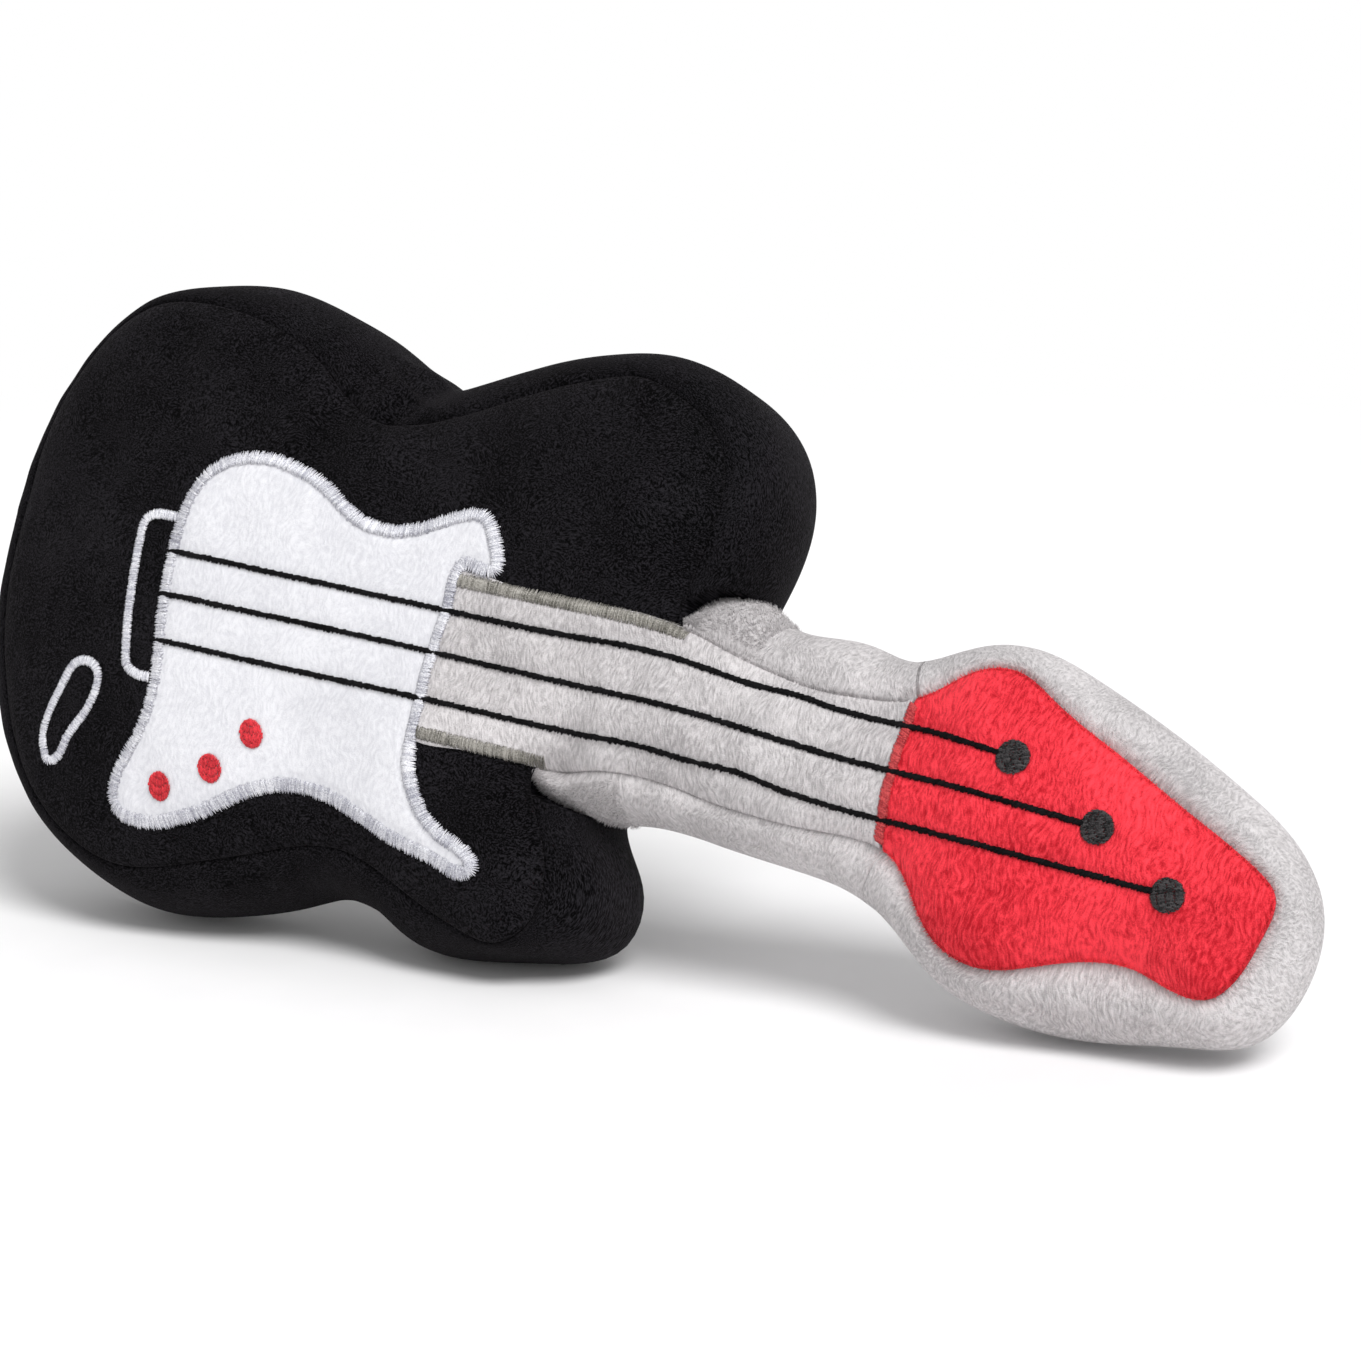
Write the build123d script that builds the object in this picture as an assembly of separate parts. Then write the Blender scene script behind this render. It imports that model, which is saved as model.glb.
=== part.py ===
from build123d import *
import math
import os

# Stuffed plush toy guitar, standing on its treble edge and leaning back.
# It is drawn flat in its own plane: u runs along the strings towards the head, v across them
# towards the bass side, and n out of the front, with n = 0 at the front of the body.
# The finished parts are then stood up in the row frame: +X to the head, -Y to the front, +Z up.

# Driving dimensions, in millimetres and degrees
LEAN = 20.5                  # how far the front leans back from upright
HEAD_DROP = 6.5              # how far the neck points down from level
FLOOR_LEVEL = -107.8         # the floor below the design's origin, once it stands
BODY_THICK = 60.0
NECK_THICK = 52.0
FABRIC = 1.2                 # minky with its backing
BODY_RIM = 22.0              # rounding of the stuffed edges
NECK_RIM = 20.0
RIM_ANGLES = (75, 55, 30, 0)     # stations round each rim, from the face to the side
INSET_STEPS = 6
EVENING = 0.3                # how far each inset step evens out the spacing of the points
ARCS_PER_POINT = 2           # how finely a smooth outline is drawn in arcs
BODY_SEAM_DEPTH = 4.0        # the panel seams, below the faces
NECK_SEAM_DEPTH = 2.4
SATIN_WIDTH = 4.2            # embroidery
SATIN_HEIGHT = 0.7
EDGE_LINE_WIDTH = 3.6
OUTLINE_WIDTH = 3.4
STRING_WIDTH = 1.7
STRING_HEIGHT = 0.9
STRING_SPACING = 14.4
MIDDLE_STRING = 0.7          # v of the middle string on the body
DOT_RADIUS = 5.0
KNOB_SIZE = (3.9, 4.8)
KNOB_TURN = 35.0
NUT_U = 253.0                # where the neck panel meets the head panel
NUT_V = -3.4
NUT_HALF = 22.0
NECK_MIDDLE = -2.5           # v that parts the neck's two gussets
FRETBOARD_V = 0.2
FRETBOARD_HALF = 26.0
FRETBOARD_START = 100.0
POCKET_REACH = 8.0
POCKET_LENGTH = 62.0
EDGE_LINE_START = 102.5
EDGE_LINE_ENDS = {"upper": 178.0, "lower": 141.0}
CLOSING_STITCHES = 12
CLOSING_PITCH = 4.5
CLOSING_START = (-20.0, -30.0)
CLOSING_STITCH = (0.8, 3.0)
CLOSING_HEIGHT = 0.25
FAR = 1200.0                 # larger than the toy, for cutting blocks

NECK_FACE = FABRIC           # the neck's front lies one cloth above the body's front

BODY_OUTLINE = [
    (-78, 18), (-76, 41), (-68, 66), (-55, 89), (-38, 103), (-14, 109), (14, 106),
    (38, 96), (60, 89), (82, 93), (110, 106), (140, 112), (168, 105), (188, 88),
    (196, 64), (190, 34), (176, 4), (158, -22), (158, -38), (170, -56), (168, -74),
    (152, -86), (128, -89.5), (105, -88.5), (90, -82.5), (75, -80), (57, -87), (33, -96),
    (7, -100), (-20, -94), (-42, -81), (-59, -62), (-71, -34), (-77, -6),
]
NECK_OUTLINE = [
    (150, 30), (176, 37), (194, 38), (218, 33), (242, 31), (254, 37), (268, 43),
    (283, 44), (300, 38.5), (335, 24), (355, 15), (371, 1), (382, -17), (383, -37),
    (372, -56), (356, -63.5), (334, -66.5), (300, -69), (277, -61), (254, -44),
    (240, -40), (222, -38), (190, -37), (160, -36), (140, -32), (132, 0),
]
HEAD_PANEL_OUTLINE = [
    (250, 19), (258, 22), (269, 31.5), (279, 34), (296, 27), (318, 16), (344, 3), (366, -8),
    (372, -17), (368, -36), (360, -46.5), (350, -47), (337, -43.5), (320, -44.5), (304, -50),
    (288, -53), (275, -48), (263, -34), (257, -28), (250, -26),
]
PICKGUARD_OUTLINE = [
    (0.5, 20), (1.6, 31), (5.5, 41), (12.3, 46.6), (20, 49.4), (28.7, 50), (38, 48.4), (48.4, 44.7),
    (55.7, 40.3), (63.8, 36.4), (72.4, 35.3), (80, 36.6), (87, 39.6), (93.3, 43), (99.6, 45.6),
    (104.3, 46), (107.8, 43.6), (110.9, 38.4), (113.6, 32.6), (113.4, 29.4), (109.5, 28.8), (104.4, 29.2),
    (101.6, 26.6), (100.6, 19), (99.4, 0), (99.3, -13), (99.7, -28), (101.2, -36.8), (104.6, -43.6),
    (110.7, -50.1), (119.4, -54.6), (127, -58), (129.2, -61.2), (126.6, -63.3), (118, -61.8),
    (110, -60), (99.9, -58), (88.1, -54.3), (76.5, -50.7), (64.9, -49.5), (53.8, -51.4), (43.8, -56.4),
    (34.3, -63.1), (23.1, -69), (13, -72.2), (5, -72), (0.3, -69.6), (-1.4, -65), (-0.7, -59),
    (1.3, -52.3), (4.4, -43.4), (5.6, -34.5), (5.2, -24), (3.2, -12), (1.4, 2),
]
FRETBOARD_SHAPE = [
    (100, 26.2), (176, 26.2), (188, 20), (188, -20), (160, -24), (142, -25.8), (100, -25.8),
]
BRIDGE_LINE = [
    (0, 25.6), (-6, 25.4), (-10, 24.9), (-12.6, 22.6), (-13, 18), (-12.6, 11), (-11.5, 0), (-9.5, -12),
    (-8, -20), (-6, -24.8), (-2.5, -26.5), (3, -26.7),
]
JACK_OUTLINE = [
    (-22.6, -26.2), (-18, -27.3), (-15.9, -31.4), (-16.5, -38), (-19.3, -44.5), (-23.8, -53), (-26.8, -59.6),
    (-29.2, -60.6), (-31.8, -57.6), (-33.4, -53), (-33, -47.5), (-31.1, -39.6), (-28.4, -31.5), (-26, -27.6),
]
KNOB_CENTRES = [(44.3, -36.8), (33.0, -50.5), (16.3, -59.9)]
DOT_CENTRES = [(288.5, 8.5), (318.0, -6.0), (342.5, -20.5)]
STRING_STARTS = [-1.4, -0.2, 0.8]
STRING_BEND = [(100, 0), (170, 0), (205, -0.8), (250, -3.4)]     # the neck sags below the body's line


def stand():
    """The location that stands the flat design up on its treble edge."""
    lean, drop = math.radians(LEAN), math.radians(HEAD_DROP)
    front = Vector(0, -math.cos(lean), math.sin(lean))
    upright = Vector(0, math.sin(lean), math.cos(lean))
    along = Vector(1, 0, 0) * math.cos(drop) - upright * math.sin(drop)
    return Plane(origin=Vector(0, 0, 0), x_dir=along, z_dir=front).location


def inset_points(points, distance, steps=1):
    """A clockwise outline's points moved inwards; each further step evens out their spacing."""
    ring = [Vector(*point) for point in points]
    for step in range(steps):
        moved = []
        for before, point, after in zip(ring[-1:] + ring[:-1], ring, ring[1:] + ring[:1]):
            along = (after - before).normalized()
            evening = along * along.dot((before + after) / 2 - point) * EVENING * min(step, 1)
            moved.append(point + evening + Vector(along.Y, -along.X) * (distance / steps))
        ring = moved
    return ring


def pillow(points, low, high, rim, skin=0.0):
    """A stuffed shape: the outline between two faces, with its rims rounded all the way."""
    face_angle = RIM_ANGLES[0]
    levels = []
    for angle in RIM_ANGLES:
        depth = rim * (math.sin(math.radians(face_angle)) - math.sin(math.radians(angle)))
        levels.append((depth, rim * (1 - math.cos(math.radians(angle))) + skin))
    heights = [(high - skin - depth, reach) for depth, reach in levels]
    heights += [(low + skin + depth, reach) for depth, reach in reversed(levels)]
    sections = []
    for height, reach in heights:
        ring = [Vector(p.X, p.Y, height) for p in inset_points(points, reach, INSET_STEPS)]
        sections.append(Wire([Spline(*ring, periodic=True)]))
    return Solid.make_loft(sections)


def panel(outline, low, high):
    """A flat sheet of the outline's shape between two heights."""
    return extrude(Plane.XY.offset(low) * outline, amount=high - low)


def slab(low, high):
    return panel(Rectangle(FAR, FAR), low, high)


def arcs(points, closed=False):
    """A chain of arcs that follows the smooth curve through the points."""
    smooth = Spline(*points, periodic=closed)
    count = 2 * ARCS_PER_POINT * len(points)
    spots = [smooth @ (k / count) for k in range(count)]
    spots.append(spots[0] if closed else smooth @ 1)
    return [ThreePointArc(*spots[k:k + 3]) for k in range(0, count, 2)]


def closed_shape(points):
    return make_face(arcs(points, closed=True))


def ring_band(points, width):
    """A strip of the given width that follows a closed outline."""
    return closed_shape(inset_points(points, -width / 2)) - closed_shape(inset_points(points, width / 2))


def line_band(points, width):
    """A strip of the given width that follows an open line."""
    first, last = Vector(*points[0]) * 2 - Vector(*points[1]), Vector(*points[-1]) * 2 - Vector(*points[-2])
    run = [first] + [Vector(*point) for point in points] + [last]
    left, right = (inset_points(run, side * width / 2)[1:-1] for side in (-1, 1))
    ends = [Line(left[-1], right[-1]), Line(right[0], left[0])]
    return make_face(arcs(left) + arcs(right[::-1]) + ends)


def above_floor(height):
    """The block of space over the floor, raised by height, seen from the flat design."""
    block = Pos(0, 0, FLOOR_LEVEL + height + FAR / 2) * Box(FAR, FAR, FAR)
    return stand().inverse() * block


def sewn_shells():
    """The body's and the neck's outer cloth and stuffing, flattened where they stand."""
    body_outer = pillow(BODY_OUTLINE, -BODY_THICK, 0, BODY_RIM)
    body_inner = pillow(BODY_OUTLINE, -BODY_THICK, 0, BODY_RIM, FABRIC)
    neck_low = NECK_FACE - NECK_THICK
    neck_outer = pillow(NECK_OUTLINE, neck_low, NECK_FACE, NECK_RIM)
    neck_inner = pillow(NECK_OUTLINE, neck_low, NECK_FACE, NECK_RIM, FABRIC)
    space, inner_space = above_floor(0), above_floor(FABRIC)
    neck_outer = (neck_outer - body_outer) & space
    neck_inner = (neck_inner - body_outer) & inner_space
    return body_outer & space, body_inner & inner_space, neck_outer, neck_inner


def string_line(number):
    """One string's line across the pickguard, the fretboard and the head."""
    side = (1, 0, -1)[number] * STRING_SPACING
    start = (STRING_STARTS[number], MIDDLE_STRING + side)
    bend = [(u, MIDDLE_STRING + side + sag) for u, sag in STRING_BEND]
    return [start] + bend + [DOT_CENTRES[number]]


def body_parts(outer, inner):
    skin = outer - inner
    front_seam = -BODY_SEAM_DEPTH
    back_seam = BODY_SEAM_DEPTH - BODY_THICK
    return {
        "body_front_panel": skin & slab(front_seam, FAR),
        "body_gusset": skin & slab(back_seam, front_seam),
        "body_back_panel": skin & slab(-FAR, back_seam),
        "body_stuffing": inner,
    }


def neck_and_head_parts(outer, inner, fretboard):
    skin = outer - inner
    back_seam = NECK_FACE - NECK_THICK + NECK_SEAM_DEPTH
    neck_side = Pos(NUT_U - FAR / 2, 0, 0) * Box(FAR, FAR, FAR)
    bass_side = Pos(0, NECK_MIDDLE + FAR / 2, 0) * Box(FAR, FAR, FAR)
    back = skin & slab(-FAR, back_seam)
    rest = skin - slab(-FAR, back_seam)
    neck_rest = rest & neck_side
    head_rest = rest - neck_side
    neck_front = neck_rest & slab(NECK_FACE - NECK_SEAM_DEPTH, FAR)
    neck_gusset = neck_rest - slab(NECK_FACE - NECK_SEAM_DEPTH, FAR)
    red = panel(closed_shape(HEAD_PANEL_OUTLINE), -NECK_RIM / 2, FAR)
    return {
        "neck_front_panel": neck_front + (fretboard - outer - inner),
        "neck_gusset_upper": neck_gusset & bass_side,
        "neck_gusset_lower": neck_gusset - bass_side,
        "neck_back_panel": back & neck_side,
        "head_front_panel": head_rest & red,
        "head_gusset": head_rest - red,
        "head_back_panel": back - neck_side,
        "neck_and_head_stuffing": inner,
    }


def stitched_parts(fretboard):
    """Everything sewn or embroidered on the front, each thread lying on the cloth below it."""
    pickguard_shape = closed_shape(inset_points(PICKGUARD_OUTLINE, -SATIN_WIDTH / 2))
    pickguard = panel(pickguard_shape, 0, FABRIC) - fretboard
    strings = [
        panel(line_band(string_line(n), STRING_WIDTH), NECK_FACE, NECK_FACE + STRING_HEIGHT)
        for n in range(3)
    ]
    border = panel(ring_band(PICKGUARD_OUTLINE, SATIN_WIDTH), FABRIC, FABRIC + SATIN_HEIGHT)
    pocket_shape = Pos(FRETBOARD_START, 0) * Rectangle(POCKET_REACH, POCKET_LENGTH)
    pocket = panel(pocket_shape, -NECK_RIM, NECK_RIM)
    nut = panel(Pos(NUT_U, NUT_V) * Rectangle(SATIN_WIDTH, 2 * NUT_HALF), NECK_FACE, NECK_FACE + SATIN_HEIGHT)
    bridge = panel(line_band(BRIDGE_LINE, OUTLINE_WIDTH), 0, SATIN_HEIGHT)
    parts = {
        "pickguard": pickguard,
        "bridge_outline_stitch": bridge - pickguard,
        "jack_outline_stitch": panel(ring_band(JACK_OUTLINE, OUTLINE_WIDTH), 0, SATIN_HEIGHT),
    }
    for side, sign in (("upper", 1), ("lower", -1)):
        length = EDGE_LINE_ENDS[side] - EDGE_LINE_START
        middle = (EDGE_LINE_START + length / 2, FRETBOARD_V + sign * (FRETBOARD_HALF - EDGE_LINE_WIDTH / 2))
        line = panel(Pos(*middle) * Rectangle(length, EDGE_LINE_WIDTH), NECK_FACE, NECK_FACE + SATIN_HEIGHT)
        parts["fretboard_edge_stitch_" + side] = line - border
    for number, centre in enumerate(KNOB_CENTRES, 1):
        oval = Pos(*centre) * Rot(0, 0, KNOB_TURN) * Ellipse(*KNOB_SIZE)
        parts[f"knob_dot_{number}"] = panel(oval, FABRIC, FABRIC + SATIN_HEIGHT)
    for string in strings:
        border -= string
        nut -= string
    for number, centre in enumerate(DOT_CENTRES, 1):
        dot = panel(Pos(*centre) * Circle(DOT_RADIUS), NECK_FACE, NECK_FACE + SATIN_HEIGHT)
        parts[f"tuner_dot_{number}"] = dot
        parts[f"string_{number}"] = strings[number - 1] - dot
    parts["pickguard_border_stitch"] = border - pocket
    parts["pocket_stitch"] = border & pocket
    parts["nut_stitch"] = nut
    return parts


def closing_stitches():
    """The ladder stitch that closes the back after stuffing: one solid for each stitch."""
    bars = []
    for number in range(CLOSING_STITCHES):
        place = Pos(CLOSING_START[0] + number * CLOSING_PITCH, CLOSING_START[1])
        bars.append(panel(place * Rectangle(*CLOSING_STITCH), -BODY_THICK - CLOSING_HEIGHT, -BODY_THICK))
    return Compound(children=bars)


def all_parts():
    fretboard = panel(make_face(Polyline(*FRETBOARD_SHAPE, close=True)), 0, FABRIC)
    body_outer, body_inner, neck_outer, neck_inner = sewn_shells()
    parts = body_parts(body_outer, body_inner)
    parts.update(neck_and_head_parts(neck_outer, neck_inner, fretboard))
    parts.update(stitched_parts(fretboard))
    parts["closing_stitches"] = closing_stitches()
    return parts


def main():
    os.makedirs("parts", exist_ok=True)
    stood = {name: stand() * shape for name, shape in all_parts().items()}
    boxes = [shape.bounding_box() for shape in stood.values()]
    middle_x = (min(box.min.X for box in boxes) + max(box.max.X for box in boxes)) / 2
    middle_y = (min(box.min.Y for box in boxes) + max(box.max.Y for box in boxes)) / 2
    centre = Pos(-middle_x, -middle_y, -FLOOR_LEVEL)
    print("design origin in the row frame, mm:", centre.position)
    for name, shape in stood.items():
        export_step(centre * shape, f"parts/{name}.step")


main()
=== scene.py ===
import math

import bpy
import numpy as np
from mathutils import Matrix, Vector
from mathutils.geometry import delaunay_2d_cdt
from mathutils.kdtree import KDTree


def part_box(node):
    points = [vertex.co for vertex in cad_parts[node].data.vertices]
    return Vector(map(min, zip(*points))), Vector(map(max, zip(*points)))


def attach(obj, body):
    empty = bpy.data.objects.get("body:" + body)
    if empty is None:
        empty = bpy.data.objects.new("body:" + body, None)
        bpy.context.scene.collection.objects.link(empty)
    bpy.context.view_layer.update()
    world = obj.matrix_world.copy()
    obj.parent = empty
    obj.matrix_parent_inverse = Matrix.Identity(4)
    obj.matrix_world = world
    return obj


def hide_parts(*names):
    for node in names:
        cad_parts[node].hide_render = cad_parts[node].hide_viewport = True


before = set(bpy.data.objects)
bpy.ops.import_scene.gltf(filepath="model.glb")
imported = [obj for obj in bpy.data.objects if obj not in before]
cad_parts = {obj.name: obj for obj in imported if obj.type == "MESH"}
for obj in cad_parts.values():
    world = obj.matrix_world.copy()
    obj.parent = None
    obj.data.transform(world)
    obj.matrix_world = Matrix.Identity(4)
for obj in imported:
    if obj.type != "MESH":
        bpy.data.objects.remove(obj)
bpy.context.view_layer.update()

# The toy is shaped in its own flat plane, in millimetres: u runs along the strings towards the
# head, v across them towards the bass side, and n out of the front. to_world() stands it up.

MM = 0.001
LEAN = math.radians(20.5)
HEAD_DROP = math.radians(6.5)
DOTS = [(288.5, 8.5), (318.0, -6.0), (342.5, -20.5)]
DOT_SHIFT = (1.1, -0.3)      # how far the stitched dots lie from the plain ones
DOT_RADIUS = 5.1
DOT_MIDDLE_N = 1.55

BODY_MID_N = -30.0           # the body's and the neck's middle planes
BODY_HALF = 24.5             # from the middle plane to the seams
NECK_MID_N = -25.0
NECK_HALF = 20.0
PICKGUARD_THICK = 1.3
FRETBOARD_THICK = 1.4
CLOTH_THICK = 1.0
FRETBOARD_U = 99.6           # where the fretboard comes out of the pickguard
UPPER_ROOT_U = 173.5         # where the neck's side comes out of the body, above and below
LOWER_ROOT_U = 136.0
BACK_ROOT_U = 150            # where the neck's back panel starts
FILL_ROOT_U = 164            # and its filling
TUBE_U = 140                 # where its simulated shape starts, inside the body
WAIST_U = 56.0               # the upper waist's folds
CLOSING_V = -30              # the closed slit in the back
NUT_U = 253.0
HEAD_U = (245, 275)          # the neck widens into the head
BLEND_U = 248                # up to here the neck's upper seam hardly shows
END_U = 1000                 # beyond the head
GRID = 1.5                   # spacing of the distance maps
FINE = 1.15                  # spacing of the panel meshes
EDGE = 1.2                   # spacing of points along the outlines
VOXEL = 5.0                  # the simulated cloth's mesh
FRAMES = 20                  # and how long its simulation runs
SLACK = 1.0                  # how much smaller the shapes are before their filling presses them out
CAP = 3.2                    # the farthest that the simulation may move the cloth
ALLOWANCE = 3.0              # cloth turned in under the seams
SIDES = 6                    # of each thread's cross-section
PILE = 1.5                   # length of the pile's fibres
FILL_SPACING = 4.0           # spacing of the filling's meshes
EXTENT = (-80, -105), (390, 112)     # two corners of the design plane, outside the whole toy
CAMERA_AIM = (181.0, 9.3, 0)
CAMERA_FAR = 1.0606          # metres
CAMERA_TURN = 23.0           # degrees round the toy, from straight in front to the head's side
CAMERA_RISE = 12.93          # degrees
CAMERA_LENS = 92.6

# The seam between the body's front panel and its gusset, and the gusset's widest line
BODY_SEAM = [
    (-66, 18), (-64, 42), (-58, 66), (-47, 85), (-35, 94), (-20, 97), (4, 95), (20, 90), (34, 81.5),
    (45, 73.5), (55, 69.5), (73, 72.5), (96, 82.5), (128, 96.5), (141, 99.3), (155, 95.5), (168, 88),
    (176, 76), (177.5, 62), (175, 45), (173.5, 31), (165, 8), (150, -14), (138, -29), (144, -43),
    (150, -58), (149, -73), (140, -81.5), (127, -80.5), (104, -73), (85, -66.2), (73, -65.8),
    (52, -72.5), (28, -81.5), (2, -87.5), (-18, -82.5), (-37, -69), (-52, -48), (-62, -20),
]
BODY_MID = [
    (-74.4, 18), (-72.6, 41), (-64.8, 64.8), (-52.6, 86.6), (-36.8, 101), (-13.9, 108.3), (13.1, 108),
    (36.5, 101.2), (52.5, 94.6), (62, 91.2), (69.5, 88.4), (74, 86.6), (79, 88.8), (88.2, 93.9),
    (112.3, 105), (140, 109.9), (168.3, 105.6), (189.5, 89), (197.3, 64), (190.6, 34), (176.5, 4),
    (158.5, -22), (159.3, -38), (170.4, -56), (168.6, -74.2), (151, -83.3), (128, -88.6), (104.8, -89),
    (90, -82.5), (75, -80), (57, -87), (33, -96), (7, -98.4), (-19, -91), (-39.5, -77.6), (-55.8, -59.4),
    (-67.4, -33), (-73.4, -5),
]
# The same two lines round the neck and the head; the left end is under the pickguard
NECK_SEAM = [
    (98, 26.3), (120, 26.4), (150, 26.4), (172, 26.2), (184, 23.8), (196, 20.6), (209, 18),
    (222, 16.2), (240, 16.8), (252, 19.2), (261, 25), (270, 31.6), (281, 34), (296, 27), (318, 16),
    (340, 5), (364, -7), (372, -14), (371, -26), (367, -38), (360, -46.5), (350, -47), (337, -43.5),
    (322, -44.5), (306, -50), (290, -53.6), (277, -49.5), (265, -36), (257, -28), (247, -25.2),
    (230, -25.6), (210, -25.3), (196, -24.2), (184, -22.4), (170, -21.8), (157, -23.2), (142, -26),
    (120, -26), (98, -26),
]
NECK_MID = [
    (120, 27), (155, 27), (169, 27.4), (173, 30.6), (176.5, 35.4), (182, 38.8), (189, 39.6),
    (196, 38.2), (201.7, 34.7), (206.9, 33.1), (216, 32.7), (227.9, 33.2), (242.1, 31.5), (255.6, 35.1),
    (268.3, 40.7), (282.7, 42.3), (299.7, 37.9), (334.8, 24), (353.6, 13.6), (370.8, 2), (381.4, -15.2),
    (381.1, -36.5), (371, -55.4), (355.6, -61.2), (333.9, -64.5), (300, -67.2), (277, -60.9), (262, -50.2),
    (250, -43.6), (238, -40.2), (222, -38.2), (190, -34.8), (171.9, -35.2), (160, -36.6), (150, -36.4),
    (142, -35), (136.8, -32.4), (133.5, -29), (129, -27.2), (120, -26.8),
]
PICKGUARD = [
    (0.5, 20), (1.6, 31), (5.5, 41), (12.3, 46.6), (20, 49.4), (28.7, 50), (38, 48.4), (48.4, 44.7),
    (55.7, 40.3), (63.8, 36.4), (72.4, 35.3), (80, 36.6), (87, 39.6), (93.3, 43), (99.6, 45.6),
    (104.3, 46), (107.8, 43.6), (110.9, 38.4), (113.4, 32.8), (113.3, 29.8), (110, 29.2), (105.6, 29.8),
    (102.2, 30), (101, 28), (100.6, 19), (99.4, 0), (99.3, -13), (99.7, -28), (101.2, -36.8), (104.6, -43.6),
    (110.7, -50.1), (119.4, -54.6), (127, -58), (129.2, -61.2), (126.6, -63.3), (118, -61.8),
    (110, -60), (99.9, -58), (88.1, -54.3), (76.5, -50.7), (64.9, -49.5), (53.8, -51.4), (43.8, -56.4),
    (34.3, -63.1), (23.1, -69), (13, -72.2), (5, -72), (0.3, -69.6), (-1.4, -65), (-0.7, -59),
    (1.3, -52.3), (4.4, -43.4), (5.6, -34.5), (5.2, -24), (3.2, -12), (1.4, 2),
]
BRIDGE = [
    (0, 25.6), (-6, 25.4), (-10, 24.9), (-12.6, 22.6), (-13, 18), (-12.6, 11), (-11.5, 0), (-9.5, -12),
    (-8, -20), (-6, -24.8), (-2.5, -26.5), (3, -26.7),
]
JACK = [
    (-22.6, -26.2), (-18, -27.3), (-15.9, -31.4), (-16.5, -38), (-19.3, -44.5), (-23.8, -53), (-26.8, -59.6),
    (-29.2, -60.6), (-31.8, -57.6), (-33.4, -53), (-33, -47.5), (-31.1, -39.6), (-28.4, -31.5), (-26, -27.6),
]
KNOBS = [(44.3, -36.8), (33.0, -50.5), (16.3, -59.9)]
KNOB_HALF = (3.9, 4.8)
KNOB_TURN = math.radians(35)
STRINGS = [
    [(-1.4, 14.4), (60, 14.4), (110, 14.5), (147, 15.2), (172, 16), (190, 14.3), (206, 12.9), (218, 12.7),
     (231, 11.2), (255, 10.8)],
    [(-0.2, 0.4), (60, 0.8), (110, 0.9), (150, 0.8), (180, 0.7), (198, -0.3), (218, -1.8), (237, -3),
     (255, -3.4)],
    [(0.8, -14.5), (60, -14.3), (110, -13.8), (150, -13.5), (178, -13.2), (192, -13.9), (203, -13.8),
     (217, -15.7), (231, -17.2), (258, -18.2)],
]

# ---------------------------------------------------------------- the design plane and its curves

across_lean = np.array([0.0, math.sin(LEAN), math.cos(LEAN)])
AXIS_N = np.array([0.0, -math.cos(LEAN), math.sin(LEAN)])
AXIS_U = np.array([math.cos(HEAD_DROP), 0, 0]) - across_lean * math.sin(HEAD_DROP)
AXIS_V = np.array([math.sin(HEAD_DROP), 0, 0]) + across_lean * math.cos(HEAD_DROP)
AXES = np.stack([AXIS_U, AXIS_V, AXIS_N])
dot_low, dot_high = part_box("tuner_dot_2")
ORIGIN = np.array((dot_low + dot_high) / 2) - np.array([*DOTS[1], DOT_MIDDLE_N]) @ AXES * MM


def to_world(points):
    return ORIGIN + np.asarray(points, float) @ AXES * MM


def standing(points):
    """Points in the row frame, flattened where the toy rests on the floor."""
    spots = to_world(points)
    squash = 0.9 * MM
    low = spots[:, 2] < 8 * MM
    spots[low, 2] = squash * np.logaddexp(0, spots[low, 2] / squash)
    return spots


def lengths(line):
    """How far along a line each of its points is."""
    return np.concatenate([[0], np.cumsum(np.linalg.norm(np.diff(line, axis=0), axis=1))])


def cubic(points, closed):
    """Second derivatives of the cubic through the points, and their chord positions."""
    knots = lengths(points)
    step = np.diff(knots)
    count = len(points)
    matrix, right = np.eye(count), np.zeros((count, points.shape[1]))
    slope = np.diff(points, axis=0) / step[:, None]
    for i in range(1, count - 1):
        matrix[i, i - 1:i + 2] = step[i - 1], 2 * (step[i - 1] + step[i]), step[i]
        right[i] = 6 * (slope[i] - slope[i - 1])
    if closed:
        matrix[0, -1] = -1
        matrix[-1] = 0
        matrix[-1, 0], matrix[-1, 1] = 2 * step[0], step[0]
        matrix[-1, -1], matrix[-1, -2] = 2 * step[-1], step[-1]
        right[-1] = 6 * (slope[0] - slope[-1])
    return knots, np.linalg.solve(matrix, right)


def curve(points, spacing, closed=True):
    """Points evenly spaced along the smooth curve through the given ones."""
    points = np.array(points, float)
    if closed:
        points = np.vstack([points, points[:1]])
    knots, bend = cubic(points, closed)
    fine = np.linspace(0, knots[-1], 12 * len(points))
    i = np.clip(np.searchsorted(knots, fine) - 1, 0, len(points) - 2)
    h = knots[i + 1] - knots[i]
    a, b = ((knots[i + 1] - fine) / h)[:, None], ((fine - knots[i]) / h)[:, None]
    h = h[:, None]
    line = a * points[i] + b * points[i + 1]
    line += ((a ** 3 - a) * bend[i] + (b ** 3 - b) * bend[i + 1]) * h * h / 6
    return resample(line, spacing, closed)


def resample(line, spacing, closed):
    """Points evenly spaced along a line; a closed one ends where it starts."""
    run = lengths(line)
    count = max(4, round(run[-1] / spacing))
    stations = np.linspace(0, run[-1], count + 1)
    if closed:
        stations = stations[:-1]
    return np.stack([np.interp(stations, run, line[:, k]) for k in range(line.shape[1])], axis=1)


def around(outline, spacing):
    """Points evenly spaced round an outline."""
    return resample(np.vstack([outline, outline[:1]]), spacing, True)


def tangents(line, closed=True):
    if closed:
        step = np.roll(line, -1, axis=0) - np.roll(line, 1, axis=0)
    else:
        step = np.gradient(line, axis=0)
    return unit(step)


def unit(vectors):
    return vectors / np.linalg.norm(vectors, axis=-1, keepdims=True)


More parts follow.
